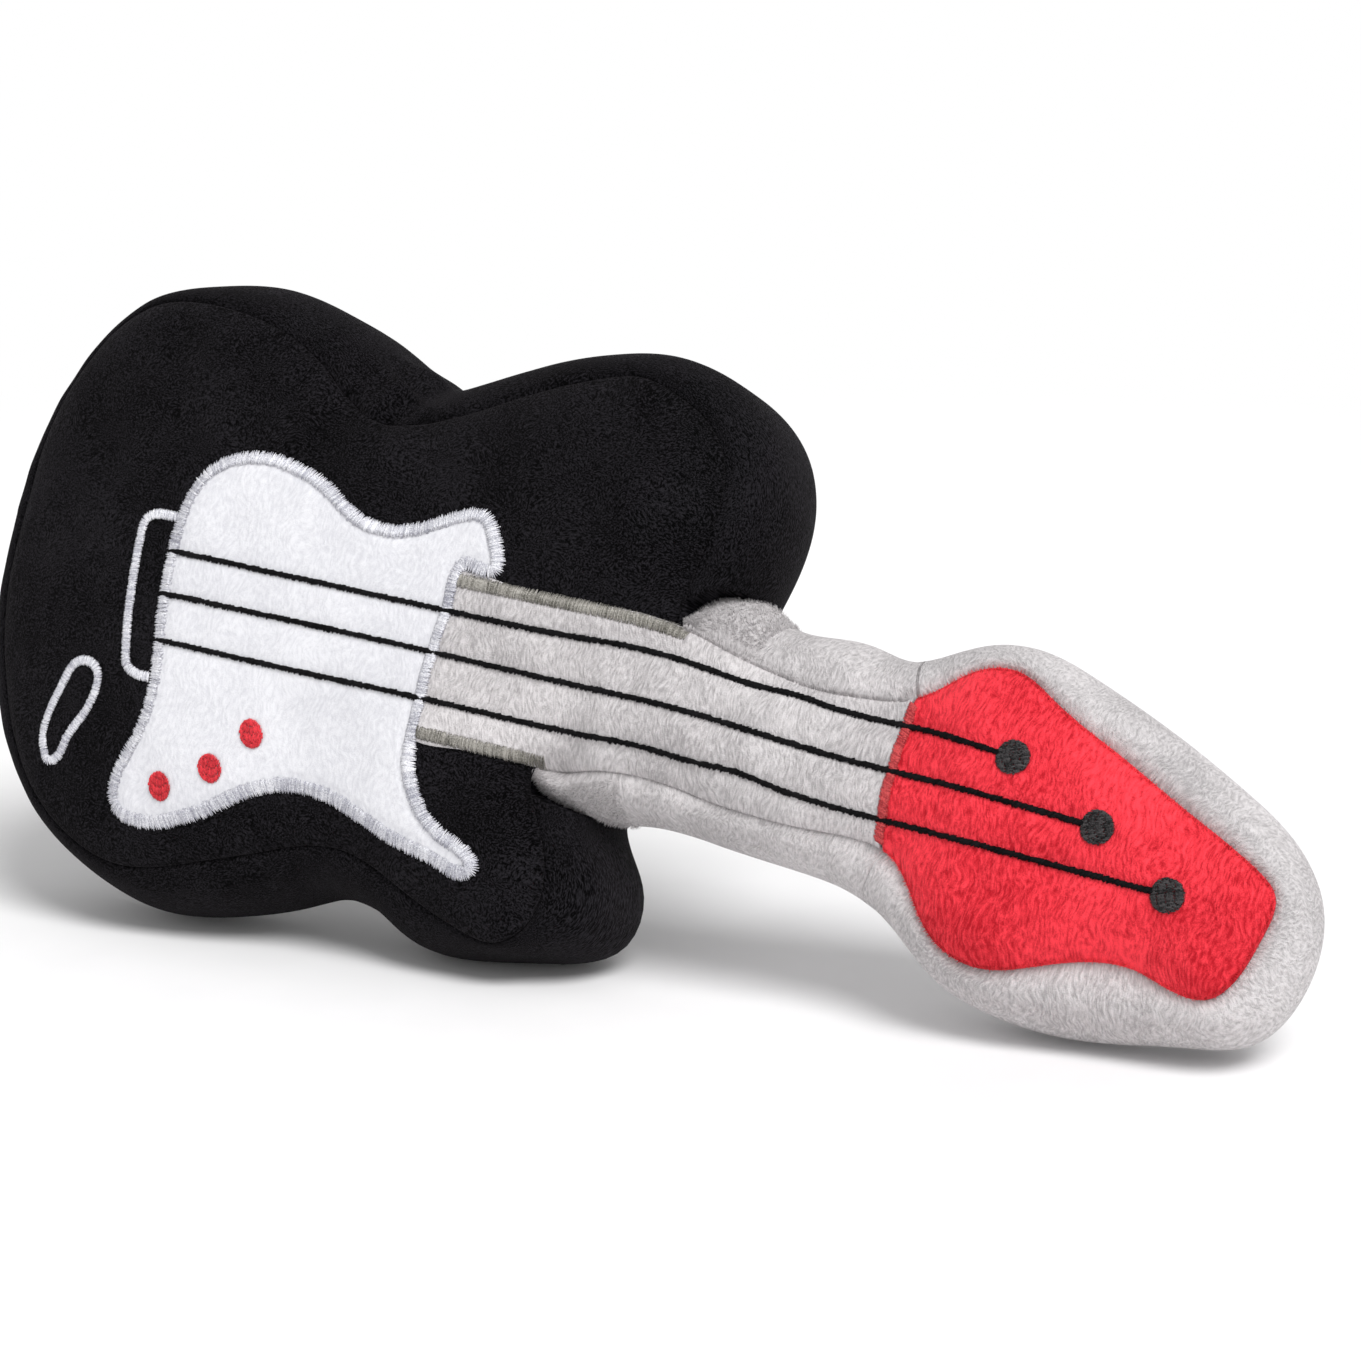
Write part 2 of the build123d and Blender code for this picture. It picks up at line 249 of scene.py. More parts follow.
def square_to(way):
    """Flat directions turned a quarter to the left."""
    return np.stack([-way[:, 1], way[:, 0]], axis=1)


def nearest(points, line):
    """Distance from each point to a closed line, and whether the point is inside it."""
    start, end = line, np.roll(line, -1, axis=0)
    run = end - start
    square = (run ** 2).sum(1)
    distance, within = np.empty(len(points)), np.empty(len(points), bool)
    for low in range(0, len(points), 4000):
        part = points[low:low + 4000, None, :]
        along = np.clip(((part - start) * run).sum(2) / square, 0, 1)
        gap = part - (start + along[:, :, None] * run)
        distance[low:low + 4000] = np.sqrt((gap ** 2).sum(2).min(1))
        crosses = (start[:, 1] > part[:, :, 1]) != (end[:, 1] > part[:, :, 1])
        rise = np.where(run[:, 1] == 0, 1e-9, run[:, 1])
        reach = start[:, 0] + (part[:, :, 1] - start[:, 1]) * run[:, 0] / rise
        within[low:low + 4000] = (crosses & (part[:, :, 0] < reach)).sum(1) % 2 == 1
    return distance, within


class Map:
    """A smooth field over the design plane, kept on a grid."""

    def __init__(self, low, high):
        self.low = np.array(low, float)
        self.shape = [int((high[k] - low[k]) / GRID) + 2 for k in range(2)]
        u = self.low[0] + GRID * np.arange(self.shape[0])
        v = self.low[1] + GRID * np.arange(self.shape[1])
        self.grid = np.stack(np.meshgrid(u, v, indexing="ij"), axis=2).reshape(-1, 2)
        self.values = None

    def fill(self, values):
        self.values = values.reshape(self.shape)
        return self

    def __call__(self, points):
        place = (np.asarray(points, float)[..., :2] - self.low) / GRID
        limit = np.array(self.shape) - 1.001
        place = np.clip(place, 0, limit)
        cell = place.astype(int)
        f = place - cell
        i, j = cell[..., 0], cell[..., 1]
        near = self.values[i, j] * (1 - f[..., 1]) + self.values[i, j + 1] * f[..., 1]
        far = self.values[i + 1, j] * (1 - f[..., 1]) + self.values[i + 1, j + 1] * f[..., 1]
        return near * (1 - f[..., 0]) + far * f[..., 0]


def depth_map(line, margin=24.0):
    """Distance inside a closed line, negative outside it."""
    field = Map(line.min(0) - margin, line.max(0) + margin)
    distance, within = nearest(field.grid, line)
    return field.fill(np.where(within, distance, -distance))


def hump(x, width):
    return np.exp(-(x / width) ** 2)


def smooth(x, low, high):
    t = np.clip((x - low) / (high - low), 0, 1)
    return t * t * (3 - 2 * t)


def waves(points, scale, seed, count=7):
    """Gentle random unevenness, about -1 to 1, with features of about the given size."""
    rng = np.random.default_rng(seed)
    points = np.asarray(points, float)
    total = np.zeros(points.shape[:-1])
    for _ in range(count):
        way = rng.normal(size=points.shape[-1])
        way *= 2 * math.pi / (scale * rng.uniform(0.7, 1.5)) / np.linalg.norm(way)
        total += np.sin(points @ way + rng.uniform(0, 2 * math.pi))
    return total / math.sqrt(count)


outlines = [curve(line, EDGE) for line in (BODY_SEAM, BODY_MID, NECK_SEAM, NECK_MID)]
outlines.append(curve(PICKGUARD, 1.0))
body_seam, body_mid, neck_seam, neck_mid, pickguard_edge = outlines
in_body, in_body_mid, in_neck, in_neck_mid, in_pickguard = map(depth_map, outlines)

# ---------------------------------------------------------------- the stuffed front surface


def rim_drop(depth, drop, reach, groove):
    """How a stuffed panel falls to its seam: a broad round shoulder and a narrow sewn groove."""
    inside = np.maximum(depth, 0)
    return -drop * np.exp(-inside / reach) - groove * np.exp(-inside / 1.4) + np.minimum(depth, 0) * 1.6


def crown(depth, reach):
    """How a stuffed panel rises towards its middle, from 0 to 1."""
    return 1 - np.exp(-np.maximum(depth, 0) / reach)


tuner_spots = [(u + DOT_SHIFT[0], v + DOT_SHIFT[1]) for u, v in DOTS]


def string_path(line, dot):
    """A string's line, which ends at the near edge of its dot."""
    way = unit(np.array(dot) - line[-1])
    return curve([*line, tuple(dot - way * (DOT_RADIUS - 0.4))], 0.5, closed=False)


string_paths = [string_path(line, dot) for line, dot in zip(STRINGS, tuner_spots)]


def string_pull(points):
    """The strings' stitching pulls the cloth down along them."""
    points = np.asarray(points, float)
    pull = np.zeros(points.shape[:-1])
    for path in string_paths:
        middle = np.interp(points[..., 0], path[:, 0], path[:, 1])
        ends = smooth(points[..., 0], path[0, 0] - 6, path[0, 0] + 4)
        ends = ends * (1 - smooth(points[..., 0], path[-1, 0], path[-1, 0] + 12))
        pull -= ends * hump(points[..., 1] - middle, 3.2)
    return pull


def waist_folds(points, depth):
    """Folds that run from the seam into the cloth at the upper waist."""
    along, inside = points[..., 0] - 50, np.maximum(depth, 0)
    fan = along / (4.2 + 0.10 * inside)
    return hump(along, 20) * (points[..., 1] > 0) * np.sin(fan * 1.9 + 0.8) * np.exp(-inside / 8)


def waist_ridges(seam, reach):
    """Two soft folds that lie along the gusset at the upper waist, and the hollow between them."""
    total = np.zeros(len(seam))
    for middle, height, slope in ((11.0, 2.3, -0.34), (17.5, -2.0, -0.24), (25.0, 2.2, -0.10)):
        off = reach - middle - slope * (seam[:, 0] - WAIST_U)
        total += height * hump(off, 2.7)
    return total * hump(seam[:, 0] - WAIST_U, 11) * (seam[:, 1] > 55)


def body_height(points):
    depth = in_body(points)
    height = 1.6 + rim_drop(depth, 6.2, 8.5, 0.9) + 1.8 * crown(depth, 30)
    return height + 0.7 * waves(points, 62, 1) + 0.2 * waves(points, 21, 2) + 1.1 * waist_folds(points, depth)


def neck_height(points):
    depth = in_neck(points)
    along, upper = points[..., 0], points[..., 1] > 0
    head = smooth(along, *HEAD_U)
    height = 2.2 + rim_drop(depth, 6.6 + 1.5 * head, 8.0, np.where(upper & (along < BLEND_U), 0.1, 0.9))
    height += 1.4 * head * crown(depth, 20)
    height -= 2.2 * hump(along - NUT_U, 14)
    height -= 2.0 * hump(along - 200, 14)
    creases = np.sin((along - 0.35 * points[..., 1]) / 3.3 + 1.2 * waves(points, 30, 6))
    height += 0.5 * creases * hump(along - 196, 24)
    height += 0.6 * waves(points, 34, 3) + 0.25 * waves(points, 13, 4)
    return height - 26 * (1 - smooth(along, 112, 162))


def soft_max(a, b, width=1.2):
    """The larger of two heights, with a rounded change from one to the other."""
    gap = np.clip((a - b) / width, -30, 30)
    return b + width * np.logaddexp(0, gap)


def fretboard_height(points):
    """The neck's front, which lies on the body as the fretboard and leaves it as a stuffed tube."""
    lying = body_height(points) + FRETBOARD_THICK - 0.9 * np.exp(-np.maximum(in_neck(points), 0) / 1.2)
    return soft_max(lying, neck_height(points)) + 1.0 * string_pull(points)


def pickguard_height(points):
    depth = in_pickguard(points)
    rise = PICKGUARD_THICK * smooth(depth, -0.6, 1.2) - 0.45 * hump(depth - 2.6, 0.9)
    return body_height(points) + rise + 0.35 * string_pull(points)


def front_height(points):
    """The visible front anywhere: body, pickguard, fretboard, neck and head."""
    points = np.asarray(points, float)
    on_fretboard = smooth(in_neck(points), -0.4, 0.4) * smooth(points[..., 0], 99.5, 100.5)
    return pickguard_height(points) * (1 - on_fretboard) + fretboard_height(points) * on_fretboard


def cover(points, front, in_seam, in_mid, middle_n):
    """A stuffed shape's outer surface seen from the front, and how far its widest line is away."""
    seam, mid = in_seam(points), in_mid(points)
    part = np.clip(-seam / np.maximum(mid - seam, 0.1), 0, 1)
    edge = front(points)
    side = middle_n + (np.minimum(edge, -3.5) - middle_n) * np.sqrt(1 - part ** 2)
    return np.where(seam > 0, edge, side), mid


def junction_u(points):
    """Where along the strings the neck's side comes out of the body, above and below."""
    return np.where(points[..., 1] > 0, UPPER_ROOT_U, LOWER_ROOT_U)


def tucked_under_neck(strip):
    """The body's side pressed in wherever the neck lies over it."""
    flat = strip[..., :2]
    top, mid = cover(flat, fretboard_height, in_neck, in_neck_mid, NECK_MID_N)
    over = (mid > 0) & (flat[..., 0] > junction_u(flat))
    strip[..., 2] = np.where(over, np.minimum(strip[..., 2], top - 1.8), strip[..., 2])
    return strip


def tucked_into_body(strip):
    """The neck's side pressed in wherever the body lies over it."""
    flat = strip[..., :2]
    top, mid = cover(flat, body_height, in_body, in_body_mid, BODY_MID_N)
    out = flat[..., 0] - junction_u(flat)
    under = (mid > 0) & (out < 6)
    allowed = top - 1.5 + 1.7 * np.maximum(out, 0)
    strip[..., 2] = np.where(under, np.minimum(strip[..., 2], allowed), strip[..., 2])
    return strip


def back_body_height(points):
    depth = in_body(points)
    height = 1.6 + rim_drop(depth, 7.0, 8.5, 1.6) + 5.0 * crown(depth, 26)
    closing = hump(points[..., 1] - CLOSING_V, 2.2) * smooth(points[..., 0], -30, -22)
    closing *= 1 - smooth(points[..., 0], 32, 40)
    height += 0.8 * waves(points, 55, 11) + 0.25 * waves(points, 17, 12) - 1.2 * closing
    return 2 * BODY_MID_N - height


def back_neck_height(points):
    depth = in_neck(points)
    head = smooth(points[..., 0], *HEAD_U)
    height = 2.2 + rim_drop(depth, 7.0 + 1.5 * head, 8.0, 1.5)
    height += 3.0 * head * crown(depth, 20)
    height -= 3.0 * hump(points[..., 0] - NUT_U, 16)
    height += 0.6 * waves(points, 34, 13) + 0.25 * waves(points, 13, 14)
    return 2 * NECK_MID_N - height


def cut_outline(line, low_u, high_u):
    """The stretch of a closed outline between two values of u, closed straight across."""
    kept = line[(line[:, 0] > low_u) & (line[:, 0] < high_u)]
    start = np.argmax(np.linalg.norm(np.roll(kept, 1, axis=0) - kept, axis=1))
    kept = np.roll(kept, -start, axis=0)
    closing = resample(np.vstack([kept[-1:], kept[:1]]), EDGE, False)[1:-1]
    if low_u > line[:, 0].min() and high_u < line[:, 0].max():
        halves = np.linalg.norm(np.diff(kept, axis=0), axis=1).argmax() + 1
        joint = resample(kept[halves - 1:halves + 1], EDGE, False)[1:-1]
        kept = np.vstack([kept[:halves], joint, kept[halves:]])
    return np.vstack([kept, closing])


def raised(points, lift=0.0, height=front_height):
    """Flat points laid on a height field, as points in space."""
    points = np.asarray(points, float)
    return np.concatenate([points[..., :2], (height(points) + lift)[..., None]], axis=-1)


# ---------------------------------------------------------------- meshes


def configure(made, **settings):
    for key, value in settings.items():
        setattr(made, key, value)
    return made


def modifier(piece, kind, **settings):
    return configure(piece.modifiers.new(kind.lower(), kind), **settings)


def add_object(name, data):
    made = bpy.data.objects.new(name, data)
    bpy.context.scene.collection.objects.link(made)
    return made


def shade_smooth(mesh):
    mesh.polygons.foreach_set("use_smooth", [True] * len(mesh.polygons))


def set_points(mesh, points):
    mesh.vertices.foreach_set("co", points.astype(np.float32).ravel())


def add_mesh(name, points, faces, stuff, cloth=None, shade=None, settle=None):
    """A mesh piece from points in the design plane's space.

    stuff is its material with its slot, cloth holds its fabric coordinates, and settle is the shift
    that it follows, which is the front's if none is given.
    """
    material, slot = stuff
    mesh = bpy.data.meshes.new(name)
    settled = points + (settle or front_shift)(points)
    mesh.from_pydata(standing(settled).tolist(), [], [list(map(int, f)) for f in faces])
    mesh.validate()
    shade_smooth(mesh)
    flat = points if cloth is None else cloth
    flat = np.concatenate([flat, np.zeros((len(flat), 3 - flat.shape[1]))], axis=1) * MM
    attribute = mesh.attributes.new("cloth", "FLOAT_VECTOR", "POINT")
    attribute.data.foreach_set("vector", flat.astype(np.float32).ravel())
    if shade is not None:
        attribute = mesh.attributes.new("shade", "FLOAT", "POINT")
        attribute.data.foreach_set("value", shade.astype(np.float32))
    mesh.materials.append(material)
    piece = add_object(name, mesh)
    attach(piece, "root")
    return piece


def apply_modifiers(piece):
    bpy.context.view_layer.update()
    graph = bpy.context.evaluated_depsgraph_get()
    mesh = bpy.data.meshes.new_from_object(piece.evaluated_get(graph), preserve_all_data_layers=True,
                                           depsgraph=graph)
    piece.modifiers.clear()
    piece.data = mesh
    shade_smooth(mesh)


def thicken(piece, thickness=CLOTH_THICK):
    """Gives a sheet of cloth its thickness, inwards and not below the floor."""
    modifier(piece, "SOLIDIFY", thickness=thickness * MM, offset=-1)
    apply_modifiers(piece)
    spots = mesh_points(piece.data)
    spots[:, 2] = np.maximum(spots[:, 2], 0)
    set_points(piece.data, spots)


def fill_outline(line, spacing=FINE):
    """A triangle mesh of a closed outline, finer and even along its edge."""
    outward = square_to(tangents(line))
    rings = [line]
    for reach in (0.45 * spacing, 0.95 * spacing):
        ring = line - outward * reach
        distance, within = nearest(ring, line)
        rings.append(ring[within & (distance > reach * 0.8)])
    low, high = line.min(0), line.max(0)
    rows = np.arange(low[1], high[1], spacing * 0.866)
    columns = np.arange(low[0], high[0], spacing)
    grid = np.array([(u + spacing / 2 * (k % 2), v) for k, v in enumerate(rows) for u in columns])
    distance, within = nearest(grid, line)
    rings.append(grid[within & (distance > 1.5 * spacing)])
    points = np.vstack(rings)
    edge = [list(range(len(line)))]
    found = delaunay_2d_cdt([Vector(p) for p in points], [], edge, 1, 1e-5)
    points = np.array([tuple(p) for p in found[0]])
    return points, facing_up(points, found[2])


def facing_up(points, faces):
    faces = np.array(faces)
    a, b, c = (points[faces[:, k]] for k in range(3))
    turn = (b[:, 0] - a[:, 0]) * (c[:, 1] - a[:, 1]) - (b[:, 1] - a[:, 1]) * (c[:, 0] - a[:, 0])
    faces[turn < 0] = faces[turn < 0][:, ::-1]
    return faces


def panel(name, line, height, stuff, replaced, mirrored=False, settle=None, thickness=CLOTH_THICK):
    """A sewn panel: the outline laid on a height field. A mirrored one faces the back."""
    points, faces = fill_outline(line)
    if mirrored:
        faces = faces[:, ::-1]
    piece = add_mesh(name, raised(points, 0, height), faces, stuff, points, settle=settle)
    thicken(piece, thickness)
    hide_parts(replaced)
    return piece


def matched(seam, mid):
    """For each seam point, the gusset's widest point beside it, spread evenly round the corners."""
    gaps = ((seam[:, None, :] - mid[None]) ** 2).sum(2)
    pick = gaps.argmin(1).astype(float)
    count = len(mid)
    step = np.diff(pick, append=pick[0])
    step = (step + count / 2) % count - count / 2
    track = pick[0] + np.concatenate([[0], np.cumsum(step)[:-1]])
    drift = np.arange(len(track)) * count / len(track)
    wobble = track - drift
    track = np.maximum.accumulate(blurred(wobble, np.hanning(23)[1:-1]) + drift)
    low = np.floor(track).astype(int)
    part = (track - low)[:, None]
    return mid[low % count] * (1 - part) + mid[(low + 1) % count] * part


def blurred(values, kernel):
    """Values round a closed line, averaged with their neighbours."""
    around_ends = np.concatenate([values[-40:], values, values[:40]])
    return np.convolve(around_ends, kernel / kernel.sum(), "same")[40:-40]


def gusset_points(seam, mid, front, middle_n, half, rows, seed, pucker, sewn=1.0):
    """A strip round the edge, from the front seam over the widest line to the back seam."""
    wide = matched(seam, mid)
    out = wide - seam
    t = np.linspace(0, 1, rows)
    front_n = front(seam)
    run = lengths(seam)
    way = tangents(seam)
    turning = (np.roll(way, -4, axis=0) * square_to(way)).sum(1)
    hollow = blurred(np.clip(turning * 4, 0, 1), np.hanning(41))
    outward = out / np.maximum(np.linalg.norm(out, axis=1), 1e-6)[:, None]
    strip = np.empty((len(seam), rows, 3))
    cloth = np.empty((len(seam), rows, 2))
    for k, part in enumerate(t):
        lift = middle_n + half * math.cos(math.pi * part)
        pull = (front_n - (middle_n + half)) * (1 - part) ** 6
        swell = math.sin(math.pi * part) ** 0.8
        near_seam = min(part, 1 - part) * math.pi * half
        groove = 0.8 * sewn * math.exp(-near_seam / 1.5)
        fold = math.exp(-near_seam / 11) * (1 - math.exp(-near_seam / 2.5))
        ripple = np.sin(run / 2.1 + 1.7 * np.sin(run / 23) + part * 2.2)
        coarse = np.sin(run / 4.3 + 2.1 * np.sin(run / 31 + seed) - part * 3.5)
        crease = (0.1 + 0.9 * pucker * hollow) * fold * ripple
        crease += (0.2 + 2.6 * pucker * hollow) * fold * coarse
        place = np.stack([run, np.full(len(run), part * math.pi * half)], axis=1)
        uneven = 0.55 * waves(place, 38, seed) * math.sin(math.pi * part)
        push = (crease + uneven - groove * 0.4) * (0.35 + 0.65 * swell)
        strip[:, k, :2] = seam + out * swell + outward * push[:, None]
        tilt = math.cos(math.pi * part)
        strip[:, k, 2] = lift + pull - groove * tilt + crease * tilt
        strip[:, k, :2] += outward * waist_ridges(seam, near_seam)[:, None]
        cloth[:, k] = place
    ends = []
    for k, side in ((0, 1), (-1, -1)):
        allowance = strip[:, k].copy()
        allowance[:, :2] -= outward * ALLOWANCE
        allowance[:, 2] -= side * (0.3 * sewn + 0.6 * (1 - sewn))
        ends.append(allowance[:, None])
    strip = np.concatenate([ends[0], strip, ends[1]], axis=1)
    cloth = np.concatenate([cloth[:, :1] - [0, 2.6], cloth, cloth[:, -1:] + [0, 2.6]], axis=1)
    return strip, cloth


def strip_faces(columns, rows, closed=True):
    i, k = np.meshgrid(np.arange(columns if closed else columns - 1), np.arange(rows - 1), indexing="ij")
    j = (i + 1) % columns
    return np.stack([i * rows + k, j * rows + k, j * rows + k + 1, i * rows + k + 1], axis=2).reshape(-1, 4)


# ---------------------------------------------------------------- the filling's pressure


def tree_of(spots):
    tree = KDTree(len(spots))
    for number, spot in enumerate(spots):
        tree.insert(spot, number)
    tree.balance()
    return tree


class Shift:
    """How the cloth simulation moved a stuffed shape, for any point near it."""

    def __init__(self, start, moved):
        self.moved = moved
        self.tree = tree_of(start)

    def __call__(self, points):
        flat = np.asarray(points, float).reshape(-1, 3)
        shift = np.empty_like(flat)
        for number, spot in enumerate(flat):
            found = self.tree.find_n(spot, 10)
            gaps = np.array([gap for _, _, gap in found]) / (VOXEL * 0.8)
            weight = np.exp(gaps[0] ** 2 - gaps ** 2)
            shift[number] = weight @ self.moved[[index for _, index, _ in found]] / weight.sum()
        return shift.reshape(np.shape(points))


def mesh_points(mesh, field="vertices", value="co"):
    spots = np.empty(3 * len(getattr(mesh, field)), np.float32)
    getattr(mesh, field).foreach_get(value, spots)
    return spots.reshape(-1, 3).astype(float)


def stuffed_form(seam, mid, front, back, middle_n, half):
    """The outer surface of a stuffed shape as one coarse mesh."""
    edge = around(seam, VOXEL)
    flat, faces = fill_outline(edge, VOXEL)
    strip = gusset_points(edge, mid, front, middle_n, half, 14, 5, 0.0)[0][:, 1:-1]
    points = np.vstack([raised(flat, 0, front), raised(flat, 0, back), strip.reshape(-1, 3)])
    triangles = [faces, faces[:, ::-1] + len(flat)]
    quads = strip_faces(*strip.shape[:2]) + 2 * len(flat)
    return points, np.vstack(triangles).tolist() + quads.tolist()


def inflate(name, seam, mid, front, back, middle_n, half, held, sewn):
    """Cloth simulation: the filling presses the cloth out while its seams hold it in.

    held is the held stretch of the seam, and sewn the front height of its stitching.
    """
    points, faces = stuffed_form(seam, mid, front, back, middle_n, half)
    seams = np.vstack([raised(held, 0, sewn), raised(held, 0, back)])
    mesh = bpy.data.meshes.new(name)
    mesh.from_pydata((points * MM).tolist(), [], faces)
    piece = add_object(name, mesh)
    modifier(piece, "WELD", merge_threshold=0.6 * MM)
    modifier(piece, "REMESH", mode="VOXEL", voxel_size=VOXEL * MM)
    apply_modifiers(piece)
    start = mesh_points(piece.data)
    outward = mesh_points(piece.data, "vertex_normals", "vector")
    slack = start - outward * SLACK * MM
    set_points(piece.data, slack)
    tree = tree_of(seams * MM)
    held = [n for n, spot in enumerate(start) if tree.find(spot)[2] < 0.8 * VOXEL * MM]
    piece.vertex_groups.new(name="seams").add(held, 1.0, "REPLACE")
    cloth = modifier(piece, "CLOTH")
    configure(cloth.point_cache, frame_start=1, frame_end=FRAMES)
    configure(cloth.settings, quality=6, mass=0.01, tension_stiffness=18, compression_stiffness=18,
              bending_stiffness=1.2, use_pressure=True, uniform_pressure_force=4, vertex_group_mass="seams")
    cloth.settings.effector_weights.gravity = 0
    for moment in range(1, FRAMES + 1):
        bpy.context.scene.frame_set(moment)
    apply_modifiers(piece)
    moved = (mesh_points(piece.data) - slack) / MM
    far = np.linalg.norm(moved, axis=1, keepdims=True)
    moved *= np.minimum(1, CAP / np.maximum(far, 1e-6))
    bpy.data.objects.remove(piece)
    bpy.context.scene.frame_set(1)
    return Shift(start / MM, moved)


def settle_shapes():
    """The shifts of the body, of the neck with the head, and of everything on the front."""
    body = inflate("inflating_body", body_seam, body_mid, body_height, back_body_height, BODY_MID_N,
                   BODY_HALF, body_seam, body_height)
    tube_seam = cut_outline(neck_seam, TUBE_U, END_U)
    head = inflate("inflating_neck", tube_seam, neck_mid, neck_height, back_neck_height, NECK_MID_N,
                   NECK_HALF, tube_seam[tube_seam[:, 0] > TUBE_U + 5], fretboard_height)

    def neck(points):
        part = smooth(points[..., :1], 150, 180)
        return body(points) * (1 - part) + head(points) * part

    whole = Map(*EXTENT)
    flat = np.column_stack([whole.grid, np.maximum(front_height(whole.grid), -9)])
    on_neck = (in_neck(whole.grid) > -3) & (whole.grid[:, 0] > 130)
    moved = np.where(on_neck[:, None], neck(flat), body(flat))
    maps = [Map(*EXTENT).fill(moved[:, k]) for k in range(3)]

    def front(points):
        return np.stack([field(points) for field in maps], axis=-1)

    return body, neck, front


# ---------------------------------------------------------------- materials


def new_material(name):
    material = bpy.data.materials.new(name)
    material.use_nodes = True
    tree = material.node_tree
    tree.nodes.clear()
    output = tree.nodes.new("ShaderNodeOutputMaterial")
    shader = tree.nodes.new("ShaderNodeBsdfPrincipled")
    tree.links.new(shader.outputs[0], output.inputs[0])
    return material, tree, shader


def set_inputs(tree, made, inputs):
    for key, value in inputs.items():
        if isinstance(value, bpy.types.NodeSocket):
            tree.links.new(value, made.inputs[key])
        else:
            made.inputs[key].default_value = value


def node(tree, kind, inputs, **settings):
    made = configure(tree.nodes.new("ShaderNode" + kind), **settings)
    set_inputs(tree, made, inputs)
    return made


def noise(tree, place, scale, detail, roughness=0.5, output="Fac"):
    inputs = {"Vector": place, "Scale": scale, "Detail": detail, "Roughness": roughness}
    return node(tree, "TexNoise", inputs).outputs[output]


def stored(tree, name, output):
    return node(tree, "Attribute", {}, attribute_name=name).outputs[output]


def weighted(tree, *parts):
    """The sum of values, each times its share."""
    total = 0.0
    for value, share in parts:
        total = node(tree, "Math", {0: value, 1: share, 2: total}, operation="MULTIPLY_ADD").outputs[0]
    return total


def ramp(tree, factor, low, high, dark, light):
    made = node(tree, "ValToRGB", {0: factor})
    for stop, position, colour in zip(made.color_ramp.elements, (low, high), (dark, light)):
        configure(stop, position=position, color=(*colour, 1))
    return made.outputs[0]


def minky(name, slot, dark, light, sheen, sheen_tint, nap=0.3, streak=(900, 260), relief=1.0,
          grain_range=(0.40, 0.60), specular=0.12):
    """Short-pile plush: fine tufts in combed streaks, with broad patches where the pile lies over; the tufts'
    lighter specks are partly painted glints on fibre tips.
    """
    material, tree, shader = new_material(name)
    place = stored(tree, "cloth", "Vector")
    drift = noise(tree, place, 55, 2, output="Color")
    swirl = node(tree, "VectorMath", {0: drift, 1: (0.5, 0.5, 0.5)}, operation="SUBTRACT")
    swirl = node(tree, "VectorMath", {0: swirl.outputs[0], "Scale": 0.011}, operation="SCALE")
    combed = node(tree, "VectorMath", {0: place, 1: swirl.outputs[0]}, operation="ADD").outputs[0]
    combed = node(tree, "Mapping", {"Vector": combed, "Scale": (*streak, 500)}).outputs[0]
    tufts = noise(tree, combed, 1, 2.5, 0.55)
    # The finest noise is the pile's grain and, in the colour, partly painted glints on fibre tips.
    grain_and_glints = weighted(tree, (tufts, 0.72), (noise(tree, place, 2300, 2), 0.28))
    level = weighted(tree, (noise(tree, place, 26, 3), nap), (grain_and_glints, 1 - nap))
    bump = node(tree, "Bump", {"Strength": 0.9 * relief, "Distance": 0.0012, "Height": grain_and_glints})
    set_inputs(tree, shader, {
        "Base Color": ramp(tree, level, *grain_range, dark, light), "Normal": bump.outputs[0],
        "Roughness": 0.9, "Specular IOR Level": specular,
        "Sheen Weight": sheen, "Sheen Roughness": 0.4, "Sheen Tint": (*sheen_tint, 1),
    })
    return material, slot


def thread(name, slot, dark, light, roughness, metallic=0.0, sheen=0.0, patchy=0.3, specular=0.4):
    """Embroidery thread: its own shade for each stitch, and fine twist along it, whose noise also paints
    glints into the colour.
    """
    material, tree, shader = new_material(name)
    place = stored(tree, "cloth", "Vector")
    twist_and_glints, turns = noise(tree, place, 2600, 2), noise(tree, place, 120, 2)
    # The fine noise is the threads' twist relief and also painted glints in their colour.
    level = weighted(tree, (stored(tree, "shade", "Fac"), 0.16), (twist_and_glints, 0.62), (turns, patchy))
    bump = node(tree, "Bump", {"Strength": 0.5, "Distance": 0.00015, "Height": twist_and_glints})
    set_inputs(tree, shader, {
        "Base Color": ramp(tree, level, 0.30 + patchy * 0.30, 0.48 + patchy * 0.62, dark, light),
        "Normal": bump.outputs[0], "Metallic": metallic, "Roughness": roughness,
        "Specular IOR Level": specular, "Sheen Weight": sheen,
    })
    return material, slot


# Each with the name of a slot
# The light colours of the black and the red plush are partly painted glints on fibre tips.
BLACK_MINKY = minky("black_minky", "body_minky", (0.0002, 0.0002, 0.0003), (0.0180, 0.0167, 0.0198), 0.033,
                    (0.8, 0.72, 0.78), nap=0.15, streak=(1450, 1700), grain_range=(0.45, 0.60), specular=0.05)
GREY_MINKY = minky("grey_minky", "neck_minky", (0.38, 0.361, 0.366), (0.68, 0.652, 0.658), 0.12,
                   (1, 0.97, 0.97), streak=(1350, 400))
RED_MINKY = minky("red_minky", "head_minky", (0.46, 0.009, 0.018), (1.0, 0.055, 0.078), 0.13,
                  (1, 0.45, 0.45), streak=(1150, 360), grain_range=(0.39, 0.60))
WHITE_MINKY = minky("white_minky", "pickguard_minky", (0.62, 0.62, 0.655), (0.76, 0.76, 0.79), 0.08,
                    (1, 1, 1), streak=(900, 420), relief=0.35)
FILL_FIBRE = minky("polyester_fibre", "stuffing", (0.62, 0.62, 0.60), (0.82, 0.82, 0.80), 0.3,
                   (1, 1, 1), streak=(200, 200))
SILVER_THREAD = thread("silver_thread", "satin_silver", (0.30, 0.30, 0.36), (0.86, 0.86, 0.89), 0.35,
                       metallic=0.15)
